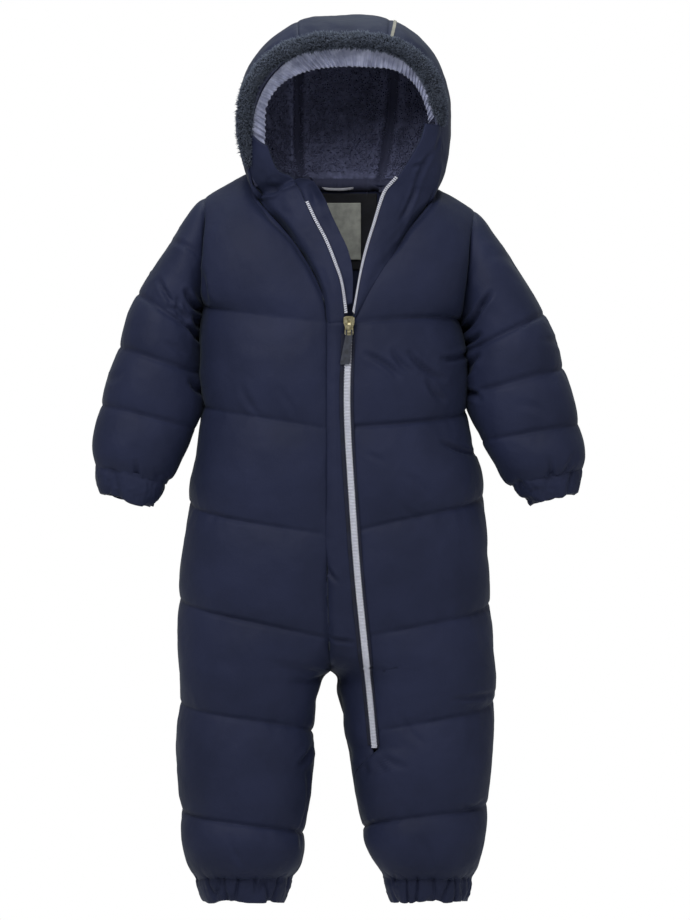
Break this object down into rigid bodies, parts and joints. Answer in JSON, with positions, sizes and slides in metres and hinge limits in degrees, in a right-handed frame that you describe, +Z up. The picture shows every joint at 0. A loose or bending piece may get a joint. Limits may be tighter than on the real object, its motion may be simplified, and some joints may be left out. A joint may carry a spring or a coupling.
{
  "type": "baby snowsuit",
  "caption": "Quilted padded one-piece baby snowsuit with a fur-trimmed hood, gathered cuffs and a long front zip, filled out as if worn, with the neck open.",
  "frame": {"origin": "between the shoulders at the base of the neck, where the wearer's shoulders carry the suit", "axes": "+Z up, from the legs to the hood; -Y is the front of the suit; +X is the wearer's left"},
  "size_m": [0.4969, 0.2051, 0.887],
  "materials": {
    "navy_shell": "plain-woven padded polyester, dark navy, low sheen",
    "navy_fur": "short knitted fur pile, dark navy",
    "pale_band": "gathered satin ribbon, pale lilac grey",
    "zip_chain": "moulded plastic zip teeth on pale tape",
    "slider_brass": "worn plated zip slider",
    "pull_rubber": "dark moulded pull tab",
    "label_cloth": "bare pale woven ribbon",
    "facing_cloth": "thin dark lining cloth"
  },
  "bodies": {
    "suit": {"front_right": "navy_shell", "front_left": "navy_shell", "front_strip": "navy_shell", "back_right": "navy_shell", "back_left": "navy_shell", "sleeve_right": "navy_shell", "sleeve_left": "navy_shell", "sleeve_cuff_right": "navy_shell", "sleeve_cuff_left": "navy_shell", "leg_cuff_right": "navy_shell", "leg_cuff_left": "navy_shell", "collar_right": "navy_shell", "collar_left": "navy_shell", "hood_right": "navy_shell", "hood_centre": "navy_shell", "hood_left": "navy_shell", "hood_lining_right": "navy_fur", "hood_lining_centre": "navy_fur", "hood_lining_left": "navy_fur", "hood_rim": "navy_fur", "hood_band": "pale_band", "wind_flap": "navy_shell", "neck_facing": "facing_cloth", "hanger_loop": "pale_band", "neck_label": "label_cloth", "zip_chain": "zip_chain", "zip_branch_right": "zip_chain", "zip_branch_left": "zip_chain", "zip_slider": "slider_brass", "hood_tab": "label_cloth"},
    "pull": {"zip_pull": "pull_rubber"}
  },
  "joints": [
    {"name": "pull_hinge", "type": "hinge", "parent": "suit", "child": "pull", "pos_m": [0.008, -0.0952, -0.1361], "axis": [-1, 0, 0], "range_deg": [0, 125]}
  ]
}
